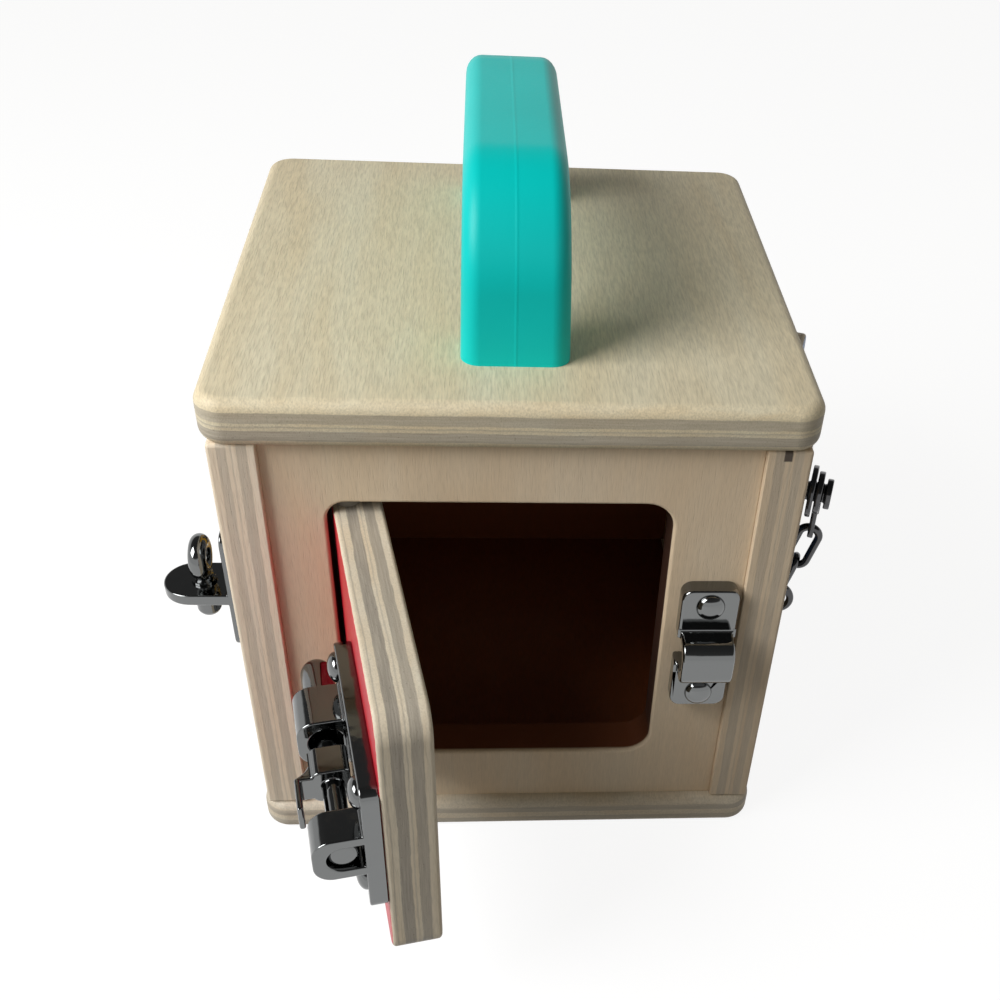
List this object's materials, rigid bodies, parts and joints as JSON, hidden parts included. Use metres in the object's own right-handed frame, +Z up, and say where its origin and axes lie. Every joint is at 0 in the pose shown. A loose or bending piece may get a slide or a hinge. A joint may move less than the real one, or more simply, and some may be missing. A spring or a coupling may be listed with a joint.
{
  "type": "toy lock box",
  "caption": "Plywood toy box with a carrying handle and a latched door in every wall; each door opens with a different latch: slide bolt, swivel hasp, chain and turn button.",
  "frame": {"origin": "middle of the base plate's underside", "axes": "+Z up, -Y towards the front wall with the open door, +X to the right seen from the front"},
  "size_m": [0.1917, 0.2213, 0.1855],
  "materials": {
    "plywood": "clear satin over birch plywood",
    "dowel_wood": "raw beech",
    "teal_plastic": "satin moulded",
    "red_door": "plywood, painted outside, bare inside",
    "yellow_door": "plywood, painted outside, bare inside",
    "blue_door": "plywood, painted outside, bare inside",
    "green_door": "plywood, painted outside, bare inside",
    "chrome": "bright plated casting",
    "steel": "plain",
    "nylon": "plain"
  },
  "bodies": {
    "box": {"base_plate": "plywood", "top_plate": "plywood", "left_wall": "plywood", "right_wall": "plywood", "front_wall": "plywood", "back_wall": "plywood", "base_dowels": "dowel_wood", "top_dowels": "dowel_wood", "handle": "teal_plastic", "handle_screws": "steel", "front_door_pins": "steel", "front_door_washers": "nylon", "bolt_keeper": "chrome", "keeper_screws": "chrome", "left_door_pins": "steel", "left_door_washers": "nylon", "hasp_staple": "chrome", "staple_screws": "chrome", "right_door_pins": "steel", "right_door_washers": "nylon", "chain_peg": "chrome", "back_door_pins": "steel", "back_door_washers": "nylon", "turn_washer": "steel", "turn_screw": "steel"},
    "front_door": {"front_door": "red_door", "bolt_plate": "chrome", "bolt_screws": "chrome"},
    "bolt": {"bolt_rod": "chrome"},
    "left_door": {"left_door": "yellow_door", "hasp_pivot_plate": "chrome", "hasp_plate_screws": "chrome", "hasp_rivet": "chrome"},
    "hasp_arm": {"hasp_arm": "chrome"},
    "swivel_eye": {"swivel_eye": "chrome"},
    "right_door": {"right_door": "blue_door", "chain_track": "chrome", "track_screws": "chrome"},
    "chain_slider": {"chain_slider": "chrome"},
    "chain": {"chain_link_1": "chrome", "chain_link_2": "chrome", "chain_ring": "chrome"},
    "back_door": {"back_door": "green_door"},
    "turn_button": {"turn_button": "chrome"}
  },
  "joints": [
    {"name": "front_door_swing", "type": "hinge", "parent": "box", "child": "front_door", "pos_m": [-0.0404, -0.062, 0.071], "axis": [0, 0, -1], "range_deg": [-78.8, 11.2]},
    {"name": "bolt_slide", "type": "slide", "parent": "front_door", "child": "bolt", "axis": [0.1942, -0.981, 0], "range_m": [0, 0.012]},
    {"name": "left_door_swing", "type": "hinge", "parent": "box", "child": "left_door", "pos_m": [-0.0635, 0.0409, 0.071], "axis": [0, 0, -1], "range_deg": [0, 90]},
    {"name": "hasp_arm_swing", "type": "hinge", "parent": "left_door", "child": "hasp_arm", "pos_m": [-0.0675, -0.0174, 0.0785], "axis": [-1, 0, 0], "range_deg": [-180, 90]},
    {"name": "swivel_eye_turn", "type": "hinge", "parent": "box", "child": "swivel_eye", "pos_m": [-0.082, -0.0479, 0.0745], "axis": [0, 0, 1], "range_deg": [0, 90]},
    {"name": "right_door_swing", "type": "hinge", "parent": "box", "child": "right_door", "pos_m": [0.0635, -0.0409, 0.071], "axis": [0, 0, -1], "range_deg": [-18.5, 71.5]},
    {"name": "chain_slide", "type": "slide", "parent": "right_door", "child": "chain_slider", "axis": [0.3173, 0.9483, 0], "range_m": [-0.0115, 0.0145]},
    {"name": "chain_swing", "type": "hinge", "parent": "chain_slider", "child": "chain", "pos_m": [0.09402, -0.00577, 0.0617], "axis": [0.9483, -0.3173, 0], "range_deg": [-45, 45]},
    {"name": "back_door_swing", "type": "hinge", "parent": "box", "child": "back_door", "pos_m": [0.0404, 0.062, 0.071], "axis": [0, 0, -1], "range_deg": [0, 90]},
    {"name": "turn_button_turn", "type": "hinge", "parent": "box", "child": "turn_button", "pos_m": [-0.046, 0.0685, 0.071], "axis": [0, 1, 0], "range_deg": [-90, 0]}
  ]
}
